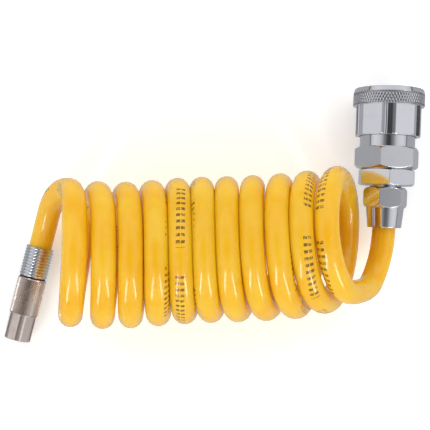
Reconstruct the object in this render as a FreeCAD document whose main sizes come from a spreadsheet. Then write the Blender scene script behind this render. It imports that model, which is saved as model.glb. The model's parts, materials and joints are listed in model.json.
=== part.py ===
import FreeCAD, Part
import math
import os
import Sketcher

# Self-coiling tyre inflation hose, lying on a table: a polyurethane hose wound in a coil, a quick
# coupler socket on one end and a screw-on tyre valve chuck on the other.
# Frame: millimetres, +Z up, the table at Z = 0, the origin under the middle of the whole object.
# Both fittings are modelled along their own Z axis and then laid down by a placement:
# the coupler from its mouth (0) towards the hose, the chuck from the hose (0) towards its nose.

SIZES = (
    ("hose_radius", 4.0),
    ("hose_bore_radius", 2.5),
    ("turn_radius", 20.35),
    ("turns", 10.5),
    ("coil_length", 98.0),
    ("coil_bend_radius", 530.0),
    ("coil_slope_deg", 3.5),
    ("coil_middle_x", -2.1),
    ("coil_middle_y", -11.1),
    ("coupler_mouth_x", 61.17),
    ("coupler_mouth_y", 43.9),
    ("coupler_yaw_deg", 2.2),
    ("chuck_start_x", -60.92),
    ("chuck_start_y", -10.75),
    ("chuck_yaw_deg", 14.3),
    # Coupler sleeve: knurled flange, fluted grip and the stepped bore that works the balls.
    ("flange_radius", 12.2),
    ("flange_nose_radius", 11.8),
    ("flange_nose_length", 1.6),
    ("flange_length", 5.9),
    ("sleeve_radius", 11.5),
    ("sleeve_length", 16.2),
    ("turned_edge", 0.3),
    ("sleeve_mouth_radius", 9.9),
    ("stop_rib_start", 2.2),
    ("stop_rib_end", 2.9),
    ("release_radius", 9.7),
    ("ramp_start", 4.62),
    ("ramp_end", 8.2),
    ("land_radius", 8.8),
    ("land_end", 9.7),
    ("skirt_radius", 9.75),
    ("flute_count", 6),
    ("flute_turn_deg", 10.0),
    ("flute_floor", 10.8),
    ("flute_width", 2.6),
    ("grip_flat_radius", 10.97),
    ("grip_flat_width", 7.6),
    # Coupler body: ball tube, rear tube, wrench hexagon, plug bore, valve seat and chamber.
    ("body_start", 0.6),
    ("ball_tube_radius", 8.7),
    ("shoulder_start", 15.6),
    ("rear_tube_radius", 9.4),
    ("body_hex_start", 19.9),
    ("body_hex_end", 27.4),
    ("body_hex_flats", 20.0),
    ("body_hex_turn_deg", 21.2),
    ("mouth_chamfer", 0.7),
    ("lead_in_radius", 6.4),
    ("lead_in_end", 5.8),
    ("plug_bore_radius", 6.05),
    ("seal_groove_start", 10.2),
    ("seal_groove_end", 12.2),
    ("seal_groove_radius", 7.9),
    ("plug_bore_end", 13.0),
    ("throat_radius", 4.8),
    ("throat_end", 14.5),
    ("chamber_radius", 7.2),
    ("chamber_end", 21.9),
    ("thread_radius", 8.0),
    ("ring_groove_start", 1.2),
    ("ring_groove_end", 2.18),
    ("ring_groove_radius", 8.0),
    ("ring_radius", 9.6),
    ("ring_gap", 2.4),
    # Locking balls and the drilled holes that cage them.
    ("ball_count", 6),
    ("ball_radius", 1.75),
    ("ball_station", 8.0),
    ("ball_orbit_radius", 7.0),
    ("ball_hole_radius", 1.78),
    ("ball_lip_radius", 1.66),
    ("ball_lip_height", 6.38),
    # Springs and seals of the coupler.
    ("sleeve_spring_radius", 9.2),
    ("sleeve_wire_radius", 0.32),
    ("sleeve_spring_start", 10.2),
    ("sleeve_spring_height", 4.9),
    ("sleeve_spring_pitch", 1.4),
    ("valve_spring_radius", 4.8),
    ("valve_wire_radius", 0.3),
    ("valve_spring_start", 16.9),
    ("valve_spring_height", 4.9),
    ("valve_spring_pitch", 1.4),
    ("seal_ring_radius", 6.99),
    ("seal_cord_radius", 0.9),
    # Shut-off valve.
    ("fin_start", 10.4),
    ("fin_end", 14.4),
    ("fin_radius", 4.7),
    ("fin_thickness", 1.4),
    ("disc_hub_radius", 3.0),
    ("washer_start", 14.52),
    ("washer_end", 15.3),
    ("washer_radius", 6.2),
    ("disc_end", 16.5),
    ("disc_radius", 6.4),
    # Hose adapter: front thread, hexagon, rear thread and hose nipple.
    ("gasket_end", 22.4),
    ("gasket_bore_radius", 5.5),
    ("adapter_thread_radius", 7.96),
    ("adapter_hex_end", 33.1),
    ("adapter_hex_flats", 18.0),
    ("adapter_hex_turn_deg", 4.0),
    ("adapter_rear_radius", 5.6),
    ("adapter_rear_end", 39.3),
    ("nipple_end", 46.6),
    ("adapter_bore_radius", 3.4),
    ("adapter_bore_end", 31.0),
    ("nipple_bore_radius", 1.5),
    # Hose nut: chamfered hexagon and tapered collar.
    ("nut_start", 33.7),
    ("nut_hex_end", 40.8),
    ("nut_end", 47.6),
    ("nut_hex_flats", 13.4),
    ("nut_hex_turn_deg", 26.0),
    ("nut_thread_radius", 5.65),
    ("nut_thread_end", 39.8),
    ("nut_cone_end", 42.6),
    ("nut_mouth_radius", 4.1),
    ("collar_radius", 6.45),
    ("collar_end_radius", 5.75),
    ("hex_edge", 0.9),
    ("nut_hex_edge", 1.3),
    # Crimped ferrule and the stem that the chuck turns on.
    ("ferrule_crest_radius", 4.85),
    ("ferrule_root_radius", 4.45),
    ("ferrule_rings", 10),
    ("ferrule_ring_pitch", 1.06),
    ("ferrule_ring_groove", 0.44),
    ("ferrule_floor_start", 9.6),
    ("stem_start", 1.0),
    ("stem_radius", 2.5),
    ("stem_bore_radius", 1.2),
    ("stem_head_start", 21.95),
    ("stem_head_end", 23.1),
    ("stem_head_radius", 3.35),
    ("swivel_ring_start", 10.65),
    ("swivel_ring_end", 11.12),
    ("swivel_ring_radius", 4.5),
    # Chuck barrel: knurled grip, fluted nose, stem bearing and tyre valve thread.
    ("barrel_start", 11.2),
    ("barrel_radius", 4.975),
    ("barrel_edge", 0.25),
    ("nose_start", 24.3),
    ("nose_end", 33.4),
    ("nose_radius", 4.72),
    ("nose_flat_radius", 4.55),
    ("nose_flat_width", 4.6),
    ("nose_turn_deg", -12.5),
    ("nose_groove_floor", 4.3),
    ("nose_groove_width", 0.7),
    ("barrel_bearing_radius", 2.58),
    ("barrel_bearing_end", 21.8),
    ("barrel_relief_radius", 3.6),
    ("valve_thread_start", 24.9),
    ("valve_thread_radius", 3.85),
    ("valve_mouth_radius", 4.15),
    ("valve_mouth_length", 0.4),
    ("chuck_seal_end", 24.85),
    ("chuck_seal_bore_radius", 1.0),
    ("pin_radius", 0.5),
    ("pin_head_start", 21.5),
    ("pin_end", 24.7),
    ("pin_notch_width", 0.8),
)

# The hose's free stretches, as centreline points from each fitting to the coil.
COUPLER_LEAD = (
    (59.58, 2.43, 12.2),
    (59.25, -6.07, 12.2),
    (58.2, -13.8, 11.3),
    (55.9, -20.3, 12.4),
    (52.9, -24.8, 16.6),
    (49.9, -26.4, 22.4),
    (47.0, -25.4, 28.5),
)
CHUCK_LEAD = (
    (-62.65, -17.53, 4.98),
    (-60.55, -9.3, 4.98),
    (-58.3, -1.5, 6.7),
    (-55.6, 5.2, 12.0),
    (-50.0, 9.3, 19.8),
)
ARC_SHARE = 0.45
OUTSIDE = 2.0

doc = FreeCAD.newDocument("recoil_hose")
sheet = doc.addObject("Spreadsheet::Sheet", "Sizes")
for row, (alias, value) in enumerate(SIZES, start=1):
    sheet.set(f"A{row}", alias)
    sheet.set(f"B{row}", str(value))
    sheet.setAlias(f"B{row}", alias)
doc.recompute()


def size(alias):
    """A driving dimension, as the sheet holds it."""
    return float(sheet.get(alias))


def amount(text):
    """The value of a sum of driving dimensions, such as "nose_start + barrel_edge"."""
    total, sign = 0.0, 1
    for word in text.split():
        if word in ("+", "-"):
            sign = 1 if word == "+" else -1
        elif word != "0":
            total += sign * size(word)
    return total


def bound(text):
    """The same sum as an expression on the sheet's cells."""
    return " ".join(word if word in ("+", "-", "0") else "Sizes." + word for word in text.split())


def frame_along(start, yaw_deg, height):
    """Lays a fitting down: its Z axis runs to -Y, turned by the yaw, and its X axis points up."""
    yaw = math.radians(yaw_deg)
    along = FreeCAD.Vector(-math.sin(yaw), -math.cos(yaw), 0)
    up = FreeCAD.Vector(0, 0, 1)
    turn = FreeCAD.Rotation(up, along.cross(up), along, "ZXY")
    return FreeCAD.Placement(FreeCAD.Vector(start[0], start[1], height), turn)


COUPLER = frame_along(
    (size("coupler_mouth_x"), size("coupler_mouth_y")), size("coupler_yaw_deg"), size("flange_radius")
)
CHUCK = frame_along(
    (size("chuck_start_x"), size("chuck_start_y")), size("chuck_yaw_deg"), size("barrel_radius")
)


def origin_plane(body, role):
    return [plane for plane in body.Origin.OriginFeatures if plane.Role == role][0]


def turned(label, corners):
    """A lathe-turned piece: corners are (station, radius) sums of driving dimensions."""
    body = doc.addObject("PartDesign::Body", label)
    sketch = body.newObject("Sketcher::SketchObject", label + "_outline")
    sketch.AttachmentSupport = [(origin_plane(body, "XZ_Plane"), "")]
    sketch.MapMode = "FlatFace"
    points = [FreeCAD.Vector(amount(radius), amount(station), 0) for station, radius in corners]
    for index, point in enumerate(points):
        sketch.addGeometry(Part.LineSegment(point, points[(index + 1) % len(points)]), False)
    for index in range(len(points)):
        following = (index + 1) % len(points)
        sketch.addConstraint(Sketcher.Constraint("Coincident", index, 2, following, 1))
    for index, (station, radius) in enumerate(corners):
        hold_corner(sketch, index, "DistanceX", -2, radius)
        hold_corner(sketch, index, "DistanceY", -1, station)
    revolution = body.newObject("PartDesign::Revolution", label + "_turned")
    revolution.Profile = sketch
    revolution.ReferenceAxis = (sketch, ["V_Axis"])
    revolution.Angle = 360
    return body


def hold_corner(sketch, index, kind, axis, text):
    """Ties one coordinate of a sketch corner to the sheet, or to the axis where it is zero."""
    if text == "0":
        sketch.addConstraint(Sketcher.Constraint("PointOnObject", index, 1, axis))
        return
    number = sketch.addConstraint(Sketcher.Constraint(kind, -1, 1, index, 1, amount(text)))
    sketch.setExpression(f"Constraints[{number}]", bound(text))


def boolean(kind, label, base, tool):
    result = doc.addObject(kind, label)
    result.Base = base
    result.Tool = tool
    return result


def hexagon(label, start, end, across_flats, turn, edge):
    """A hexagon bar with its corners chamfered at both ends: a prism inside a turned blank."""
    prism = doc.addObject("Part::Prism", label + "_prism")
    prism.Polygon = 6
    prism.setExpression("Circumradius", f"Sizes.{across_flats} / sqrt(3)")
    prism.setExpression("Height", bound(f"{end} - {start}"))
    prism.Placement = FreeCAD.Placement(
        FreeCAD.Vector(0, 0, size(start)), FreeCAD.Rotation(FreeCAD.Vector(0, 0, 1), size(turn))
    )
    prism.setExpression("Placement.Base.z", bound(start))
    blank = doc.addObject("Part::Cylinder", label + "_blank")
    blank.setExpression("Radius", f"Sizes.{across_flats} / sqrt(3)")
    blank.setExpression("Height", bound(f"{end} - {start}"))
    blank.setExpression("Placement.Base.z", bound(start))
    edges = doc.addObject("Part::Chamfer", label + "_edges")
    edges.Base = blank
    radial = size(across_flats) * (1 / math.sqrt(3) - 0.5)
    doc.recompute()
    rims = [
        (number, size(edge), radial) if rim_first(blank, number) else (number, radial, size(edge))
        for number in (1, 3)
    ]
    edges.Edges = rims
    return boolean("Part::Common", label, prism, edges)


def rim_first(cylinder, number):
    """Whether the first face at a cylinder's rim is its wall, which a chamfer measures first."""
    rim = cylinder.Shape.Edges[number - 1]
    faces = [face for face in cylinder.Shape.Faces if any(edge.isSame(rim) for edge in face.Edges)]
    return isinstance(faces[0].Surface, Part.Cylinder)


def radial_slots(label, count, first_deg, floor, width, start, end):
    """Box cutters standing on their floor radius, spaced evenly round the axis."""
    cutters = []
    for index in range(count):
        cutter = doc.addObject("Part::Box", f"{label}_{index + 1}")
        cutter.setExpression("Length", f"Sizes.flange_radius + {OUTSIDE} - Sizes.{floor}")
        cutter.setExpression("Width", bound(width))
        cutter.setExpression("Height", f"{bound(end)} - {bound(start)}")
        turn = FreeCAD.Rotation(FreeCAD.Vector(0, 0, 1), first_deg + 360 / count * index)
        corner = FreeCAD.Vector(size(floor), -size(width) / 2, amount(start))
        cutter.Placement = FreeCAD.Placement(turn.multVec(corner), turn)
        cutters.append(cutter)
    fused = doc.addObject("Part::MultiFuse", label)
    fused.Shapes = cutters
    return fused


def spring(label, radius, wire, start, height, pitch):
    """A compression spring of round wire."""
    helix = doc.addObject("Part::Helix", label + "_helix")
    helix.setExpression("Radius", bound(radius))
    helix.setExpression("Height", bound(height))
    helix.setExpression("Pitch", bound(pitch))
    helix.SegmentLength = 1  # whole turns as one edge each, so that the swept wire closes
    section = doc.addObject("Part::Circle", label + "_wire")
    section.setExpression("Radius", bound(wire))
    section.Placement = FreeCAD.Placement(
        FreeCAD.Vector(size(radius), 0, 0), FreeCAD.Rotation(FreeCAD.Vector(1, 0, 0), 90)
    )
    section.setExpression("Placement.Base.x", bound(radius))
    sweep = doc.addObject("Part::Sweep", label)
    sweep.Sections = [section]
    sweep.Spine = (helix, [])
    sweep.Solid = True
    sweep.Frenet = True
    along = FreeCAD.Placement(FreeCAD.Vector(0, 0, size(start)), FreeCAD.Rotation())
    sweep.Placement = COUPLER.multiply(along)
    return sweep


def tube_path(label, corners):
    """Straight runs joined by tangent arcs, each arc as large as its two runs allow."""
    points = [FreeCAD.Vector(*corner) for corner in corners]
    edges, radii = [], []
    here = points[0]
    for before, corner, after in zip(points, points[1:], points[2:]):
        inwards, outwards = corner - before, after - corner
        shorter = min(inwards.Length, outwards.Length)
        half_turn = inwards.getAngle(outwards) / 2
        radius = ARC_SHARE * shorter / math.tan(half_turn)
        inwards.normalize()
        outwards.normalize()
        arc_start = corner - inwards * ARC_SHARE * shorter
        arc_end = corner + outwards * ARC_SHARE * shorter
        towards_centre = (outwards - inwards).normalize()
        arc_middle = corner + towards_centre * radius * (1 / math.cos(half_turn) - 1)
        edges.append(Part.LineSegment(here, arc_start).toShape())
        edges.append(Part.Arc(arc_start, arc_middle, arc_end).toShape())
        radii.append(round(radius, 1))
        here = arc_end
    edges.append(Part.LineSegment(here, points[-1]).toShape())
    print(label, "bend radii", radii)
    return Part.Wire(edges)


def hose_stretch(label, corners):
    """An uncoiled stretch of the hose, hollow, along its path."""
    path = tube_path(label, corners)
    direction = FreeCAD.Vector(*corners[1]) - FreeCAD.Vector(*corners[0])
    solids = []
    for radius in (size("hose_radius"), size("hose_bore_radius")):
        section = Part.Wire(Part.makeCircle(radius, FreeCAD.Vector(*corners[0]), direction))
        solids.append(path.makePipeShell([section], True, False))
    stretch = doc.addObject("Part::Feature", label)
    stretch.Shape = solids[0].cut(solids[1])
    wall_area = math.pi * (size("hose_radius") ** 2 - size("hose_bore_radius") ** 2)
    print(label, "length", round(path.Length, 2), "volume", round(stretch.Shape.Volume, 1))
    print(label, "section times length", round(wall_area * path.Length, 1))
    return stretch


def hose_coil():
    """The coil's outer shape, a thick-walled tube on a gently bent axis.

    Its wall holds as much material as the wound hose does, so that the coil weighs the same.
    """
    outer_radius = size("turn_radius") + size("hose_radius")
    pitch = size("coil_length") / size("turns")
    wound_length = size("turns") * math.hypot(2 * math.pi * size("turn_radius"), pitch)
    hose_area = math.pi * (size("hose_radius") ** 2 - size("hose_bore_radius") ** 2)
    wall_area = hose_area * wound_length / size("coil_length")
    inner_radius = math.sqrt(outer_radius ** 2 - wall_area / math.pi)
    print("wound hose", round(wound_length, 1), "coil bore radius", round(inner_radius, 2))
    body = doc.addObject("PartDesign::Body", "hose_coil")
    sketch = body.newObject("Sketcher::SketchObject", "hose_coil_section")
    sketch.AttachmentSupport = [(origin_plane(body, "XZ_Plane"), "")]
    sketch.MapMode = "FlatFace"
    centre = FreeCAD.Vector(size("coil_bend_radius"), 0, 0)
    for radius in (outer_radius, inner_radius):
        sketch.addGeometry(Part.Circle(centre, FreeCAD.Vector(0, 0, 1), radius), False)
    sketch.addConstraint(Sketcher.Constraint("PointOnObject", 0, 3, -1))
    reach = sketch.addConstraint(Sketcher.Constraint("DistanceX", -1, 1, 0, 3, centre.x))
    sketch.setExpression(f"Constraints[{reach}]", "Sizes.coil_bend_radius")
    sketch.addConstraint(Sketcher.Constraint("Coincident", 1, 3, 0, 3))
    outside = sketch.addConstraint(Sketcher.Constraint("Radius", 0, outer_radius))
    sketch.setExpression(f"Constraints[{outside}]", "Sizes.turn_radius + Sizes.hose_radius")
    sketch.addConstraint(Sketcher.Constraint("Radius", 1, inner_radius))
    revolution = body.newObject("PartDesign::Revolution", "hose_coil_bent")
    revolution.Profile = sketch
    revolution.ReferenceAxis = (sketch, ["V_Axis"])
    revolution.Midplane = True
    revolution.setExpression("Angle", "Sizes.coil_length / Sizes.coil_bend_radius * 180 / pi")
    slope = math.radians(size("coil_slope_deg"))
    to_bend_centre = FreeCAD.Vector(-math.sin(slope), math.cos(slope), 0) * size("coil_bend_radius")
    middle = FreeCAD.Vector(size("coil_middle_x"), size("coil_middle_y"), outer_radius)
    body.Placement = FreeCAD.Placement(
        middle + to_bend_centre, FreeCAD.Rotation(FreeCAD.Vector(0, 0, 1), size("coil_slope_deg") - 90)
    )
    return body


def coupler_sleeve():
    """Knurled release sleeve with six flutes, six grip flats and its ball ramp inside."""
    blank = turned("sleeve_blank", (
        ("0", "sleeve_mouth_radius"),
        ("0", "flange_nose_radius"),
        ("flange_nose_length", "flange_radius"),
        ("flange_length", "flange_radius"),
        ("flange_length", "sleeve_radius"),
        ("sleeve_length - turned_edge", "sleeve_radius"),
        ("sleeve_length", "sleeve_radius - turned_edge"),
        ("sleeve_length", "skirt_radius"),
        ("land_end", "skirt_radius"),
        ("land_end", "land_radius"),
        ("ramp_end", "land_radius"),
        ("ramp_start", "release_radius"),
        ("stop_rib_end", "release_radius"),
        ("stop_rib_end", "land_radius"),
        ("stop_rib_start", "land_radius"),
        ("stop_rib_start", "sleeve_mouth_radius"),
    ))
    count = int(size("flute_count"))
    end = "sleeve_length + turned_edge"
    first_deg = size("flute_turn_deg")
    flutes = radial_slots(
        "sleeve_flutes", count, first_deg, "flute_floor", "flute_width", "flange_length", end
    )
    flats = radial_slots(
        "sleeve_flats", count, first_deg + 180 / count, "grip_flat_radius", "grip_flat_width",
        "flange_length", end
    )
    fluted = boolean("Part::Cut", "sleeve_fluted", blank, flutes)
    sleeve = boolean("Part::Cut", "coupler_sleeve", fluted, flats)
    sleeve.Placement = COUPLER
    return sleeve


def coupler_body():
    """Socket body: plug bore, caged ball holes, valve seat and chamber, and the wrench hexagon."""
    blank = turned("body_blank", (
        ("body_start", "lead_in_radius + mouth_chamfer"),
        ("body_start", "ball_tube_radius"),
        ("ring_groove_start", "ball_tube_radius"),
        ("ring_groove_start", "ring_groove_radius"),
        ("ring_groove_end", "ring_groove_radius"),
        ("ring_groove_end", "ball_tube_radius"),
        ("shoulder_start", "ball_tube_radius"),
        ("shoulder_start", "rear_tube_radius"),
        ("body_hex_end", "rear_tube_radius"),
        ("body_hex_end", "thread_radius"),
        ("chamber_end", "thread_radius"),
        ("chamber_end", "chamber_radius"),
        ("throat_end", "chamber_radius"),
        ("throat_end", "throat_radius"),
        ("plug_bore_end", "throat_radius"),
        ("plug_bore_end", "plug_bore_radius"),
        ("seal_groove_end", "plug_bore_radius"),
        ("seal_groove_end", "seal_groove_radius"),
        ("seal_groove_start", "seal_groove_radius"),
        ("seal_groove_start", "plug_bore_radius"),
        ("lead_in_end", "plug_bore_radius"),
        ("lead_in_end", "lead_in_radius"),
        ("body_start + mouth_chamfer", "lead_in_radius"),
    ))
    flats = hexagon(
        "body_hexagon", "body_hex_start", "body_hex_end", "body_hex_flats", "body_hex_turn_deg", "hex_edge"
    )
    core = doc.addObject("Part::Cylinder", "body_hexagon_core")
    core.setExpression("Radius", "Sizes.rear_tube_radius - Sizes.hex_edge")
    core.setExpression("Height", bound("body_hex_end"))
    ring = boolean("Part::Cut", "body_hexagon_ring", flats, core)
    solid = boolean("Part::Fuse", "body_with_hexagon", blank, ring)
    body = boolean("Part::Cut", "coupler_body", solid, ball_drills())
    body.Placement = COUPLER
    return body


def ball_drills():
    """Stepped radial drills: a narrow one that leaves a lip, and a wide one the ball fits."""
    drills = []
    for index in range(int(size("ball_count"))):
        turn = ball_turn(index)
        for name, radius, inner in (
            ("lip", "ball_lip_radius", "throat_radius"),
            ("cage", "ball_hole_radius", "ball_lip_height"),
        ):
            drill = doc.addObject("Part::Cylinder", f"ball_{name}_drill_{index + 1}")
            drill.setExpression("Radius", bound(radius))
            drill.setExpression("Height", f"Sizes.ball_tube_radius + {OUTSIDE} - Sizes.{inner}")
            outwards = FreeCAD.Rotation(FreeCAD.Vector(0, 1, 0), 90)
            start = turn.multVec(FreeCAD.Vector(size(inner), 0, size("ball_station")))
            drill.Placement = FreeCAD.Placement(start, turn.multiply(outwards))
            drills.append(drill)
    fused = doc.addObject("Part::MultiFuse", "ball_drills")
    fused.Shapes = drills
    return fused


def ball_turn(index):
    """The angle of a ball about the coupler's axis, halfway between two flutes."""
    step = 360 / size("ball_count")
    return FreeCAD.Rotation(FreeCAD.Vector(0, 0, 1), step * (index + 0.5))


def locking_ball(index):
    ball = doc.addObject("Part::Sphere", f"locking_ball_{index + 1}")
    ball.setExpression("Radius", "Sizes.ball_radius")
    centre = ball_turn(index).multVec(FreeCAD.Vector(size("ball_orbit_radius"), 0, size("ball_station")))
    ball.Placement = COUPLER.multiply(FreeCAD.Placement(centre, FreeCAD.Rotation()))
    return ball


def snap_ring():
    """Open wire ring in the body's front groove, which stops the sleeve."""
    ring = turned("snap_ring_blank", (
        ("ring_groove_start", "ring_groove_radius"),
        ("ring_groove_start", "ring_radius"),
        ("ring_groove_end", "ring_radius"),
        ("ring_groove_end", "ring_groove_radius"),
    ))
    gap = doc.addObject("Part::Box", "snap_ring_gap")
    gap.setExpression("Length", f"Sizes.ring_radius + {OUTSIDE}")
    gap.setExpression("Width", bound("ring_gap"))
    gap.setExpression("Height", bound("stop_rib_end"))
    gap.setExpression("Placement.Base.y", "-Sizes.ring_gap / 2")
    opened = boolean("Part::Cut", "snap_ring", ring, gap)
    opened.Placement = COUPLER
    return opened


def plug_seal():
    """Rubber ring in the plug bore's groove."""
    ring = doc.addObject("Part::Torus", "plug_seal")
    ring.setExpression("Radius1", "Sizes.seal_ring_radius")
    ring.setExpression("Radius2", "Sizes.seal_cord_radius")
    middle = (size("seal_groove_start") + size("seal_groove_end")) / 2
    ring.Placement = COUPLER.multiply(FreeCAD.Placement(FreeCAD.Vector(0, 0, middle), FreeCAD.Rotation()))
    return ring


def valve_poppet():
    """Shut-off valve disc with a cross of guide fins that the plug pushes on."""
    disc = turned("poppet_disc", (
        ("fin_end", "0"),
        ("fin_end", "disc_hub_radius"),
        ("washer_end", "disc_hub_radius"),
        ("washer_end", "disc_radius"),
        ("disc_end", "disc_radius"),
        ("disc_end", "0"),
    ))
    fins = []
    for index in range(2):
        fin = doc.addObject("Part::Box", f"poppet_fin_{index + 1}")
        fin.setExpression("Length", "2 * Sizes.disc_radius")
        fin.setExpression("Width", bound("fin_thickness"))
        fin.setExpression("Height", bound("fin_end - fin_start"))
        turn = FreeCAD.Rotation(FreeCAD.Vector(0, 0, 1), 90 * index)
        corner = FreeCAD.Vector(-size("disc_radius"), -size("fin_thickness") / 2, size("fin_start"))
        fin.Placement = FreeCAD.Placement(turn.multVec(corner), turn)
        fins.append(fin)
    cross = boolean("Part::Fuse", "poppet_cross", fins[0], fins[1])
    guide = doc.addObject("Part::Cylinder", "poppet_guide")
    guide.setExpression("Radius", bound("fin_radius"))
    guide.setExpression("Height", bound("fin_end"))
    trimmed = boolean("Part::Common", "poppet_fins", cross, guide)
    poppet = boolean("Part::Fuse", "valve_poppet", disc, trimmed)
    poppet.Placement = COUPLER
    return poppet


def washer(label, start, end, bore, radius, frame):
    """A flat rubber or fibre ring."""
    ring = turned(label, ((start, bore), (start, radius), (end, radius), (end, bore)))
    ring.Placement = frame
    return ring


def hose_adapter():
    """Threaded hexagon adapter that closes the body and carries the hose nipple."""
    blank = turned("adapter_blank", (
        ("gasket_end", "adapter_bore_radius"),
        ("gasket_end", "adapter_thread_radius"),
        ("body_hex_end", "adapter_thread_radius"),
        ("adapter_hex_end", "adapter_thread_radius"),
        ("adapter_hex_end", "adapter_rear_radius"),
        ("adapter_rear_end", "adapter_rear_radius"),
        ("adapter_rear_end", "hose_bore_radius"),
        ("nipple_end", "hose_bore_radius"),
        ("nipple_end", "nipple_bore_radius"),
        ("adapter_bore_end", "nipple_bore_radius"),
        ("adapter_bore_end", "adapter_bore_radius"),
    ))
    flats = hexagon(
        "adapter_hexagon", "body_hex_end", "adapter_hex_end", "adapter_hex_flats", "adapter_hex_turn_deg",
        "turned_edge",
    )
    core = doc.addObject("Part::Cylinder", "adapter_hexagon_core")
    core.setExpression("Radius", "Sizes.adapter_thread_radius - Sizes.hex_edge")
    core.setExpression("Height", bound("adapter_hex_end"))
    ring = boolean("Part::Cut", "adapter_hexagon_ring", flats, core)
    adapter = boolean("Part::Fuse", "hose_adapter", blank, ring)
    adapter.Placement = COUPLER
    return adapter


def hose_nut():
    """Compression nut: a domed hexagon and a tapered collar round the hose."""
    flats = hexagon(
        "nut_hexagon", "nut_start", "nut_hex_end", "nut_hex_flats", "nut_hex_turn_deg", "nut_hex_edge"
    )
    collar = turned("nut_collar", (
        ("nut_start", "nut_thread_radius"),
        ("nut_start", "collar_radius"),
        ("nut_hex_end", "collar_radius"),
        ("nut_end", "collar_end_radius"),
        ("nut_end", "nut_mouth_radius"),
        ("nut_cone_end", "nut_mouth_radius"),
        ("nut_thread_end", "nut_thread_radius"),
    ))
    core = doc.addObject("Part::Cylinder", "nut_hexagon_core")
    core.setExpression("Radius", "(Sizes.nut_thread_radius + Sizes.collar_radius) / 2")
    core.setExpression("Height", bound("nut_hex_end"))
    ring = boolean("Part::Cut", "nut_hexagon_ring", flats, core)
    nut = boolean("Part::Fuse", "hose_nut", collar, ring)
    nut.Placement = COUPLER
    return nut


def chuck_ferrule():
    """Crimped ferrule with rolled rings, closed round the stem at its far end."""
    corners = []
    for ring in range(int(size("ferrule_rings"))):
        start = " + ".join(["ferrule_ring_pitch"] * ring) or "0"
        crest_end = " + ".join(["ferrule_ring_pitch"] * (ring + 1)) + " - ferrule_ring_groove"
        corners.append((start, "ferrule_crest_radius"))
        corners.append((crest_end, "ferrule_crest_radius"))
        corners.append((crest_end + " + ferrule_ring_groove", "ferrule_root_radius"))
    last = " + ".join(["ferrule_ring_pitch"] * int(size("ferrule_rings")))
    corners.append((last, "stem_radius"))
    corners.append(("ferrule_floor_start", "stem_radius"))
    corners.append(("ferrule_floor_start", "hose_radius"))
    corners.append(("0", "hose_radius"))
    ferrule = turned("chuck_ferrule", corners)
    ferrule.Placement = CHUCK
    return ferrule


def chuck_stem():
    """Hollow stem: hose tail, neck that the barrel turns on, and head that keeps the barrel on."""
    stem = turned("chuck_stem", (
        ("stem_start", "stem_bore_radius"),
        ("stem_start", "stem_radius"),
        ("stem_head_start", "stem_radius"),
        ("stem_head_start", "stem_head_radius"),
        ("stem_head_end", "stem_head_radius"),
        ("stem_head_end", "stem_bore_radius"),
    ))
    stem.Placement = CHUCK
    return stem


def chuck_barrel():
    """Screw-on barrel: knurled grip, six-sided fluted nose and the tyre valve thread in its mouth."""
    blank = turned("barrel_blank", (
        ("barrel_start", "barrel_bearing_radius"),
        ("barrel_start", "barrel_radius - barrel_edge"),
        ("barrel_start + barrel_edge", "barrel_radius"),
        ("nose_start - barrel_edge", "barrel_radius"),
        ("nose_start", "nose_radius"),
        ("nose_end", "nose_radius"),
        ("nose_end", "valve_mouth_radius"),
        ("nose_end - valve_mouth_length", "valve_thread_radius"),
        ("valve_thread_start", "valve_thread_radius"),
        ("valve_thread_start", "barrel_relief_radius"),
        ("barrel_bearing_end", "barrel_relief_radius"),
        ("barrel_bearing_end", "barrel_bearing_radius"),
    ))
    half_side_deg = 30
    flats = radial_slots(
        "nose_flat_cutters", 6, size("nose_turn_deg") + half_side_deg, "nose_flat_radius", "nose_flat_width",
        "nose_start", "nose_end + barrel_edge",
    )
    grooves = radial_slots(
        "nose_grooves", 6, size("nose_turn_deg"), "nose_groove_floor", "nose_groove_width",
        "nose_start", "nose_end + barrel_edge",
    )
    flattened = boolean("Part::Cut", "barrel_flattened", blank, flats)
    barrel = boolean("Part::Cut", "chuck_barrel", flattened, grooves)
    barrel.Placement = CHUCK
    return barrel


def depressor_pin():
    """Pin that opens the tyre valve, on a head notched for air and pressed in the stem's bore."""
    blank = turned("pin_blank", (
        ("pin_head_start", "0"),
        ("pin_head_start", "stem_bore_radius"),
        ("stem_head_end", "stem_bore_radius"),
        ("stem_head_end", "pin_radius"),
        ("pin_end", "pin_radius"),
        ("pin_end", "0"),
    ))
    notches = radial_slots(
        "pin_notches", 3, 0, "pin_radius", "pin_notch_width", "stem_start", "stem_head_end"
    )
    pin = boolean("Part::Cut", "depressor_pin", blank, notches)
    pin.Placement = CHUCK
    return pin


nodes = [
    hose_coil(),
    hose_stretch("hose_lead_coupler", COUPLER_LEAD),
    hose_stretch("hose_lead_chuck", CHUCK_LEAD),
    coupler_sleeve(),
    coupler_body(),
    snap_ring(),
    plug_seal(),
    spring(
        "sleeve_spring", "sleeve_spring_radius", "sleeve_wire_radius", "sleeve_spring_start",
        "sleeve_spring_height", "sleeve_spring_pitch",
    ),
    valve_poppet(),
    washer("poppet_seal", "washer_start", "washer_end", "disc_hub_radius", "washer_radius", COUPLER),
    spring(
        "valve_spring", "valve_spring_radius", "valve_wire_radius", "valve_spring_start",
        "valve_spring_height", "valve_spring_pitch",
    ),
    washer(
        "adapter_gasket", "chamber_end", "gasket_end", "gasket_bore_radius", "adapter_thread_radius",
        COUPLER,
    ),
    hose_adapter(),
    hose_nut(),
    chuck_ferrule(),
    chuck_stem(),
    washer("swivel_ring", "swivel_ring_start", "swivel_ring_end", "stem_radius", "swivel_ring_radius", CHUCK),
    chuck_barrel(),
    washer(
        "chuck_seal", "stem_head_end", "chuck_seal_end", "chuck_seal_bore_radius", "stem_head_radius", CHUCK
    ),
    depressor_pin(),
]
nodes += [locking_ball(index) for index in range(int(size("ball_count")))]

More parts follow.
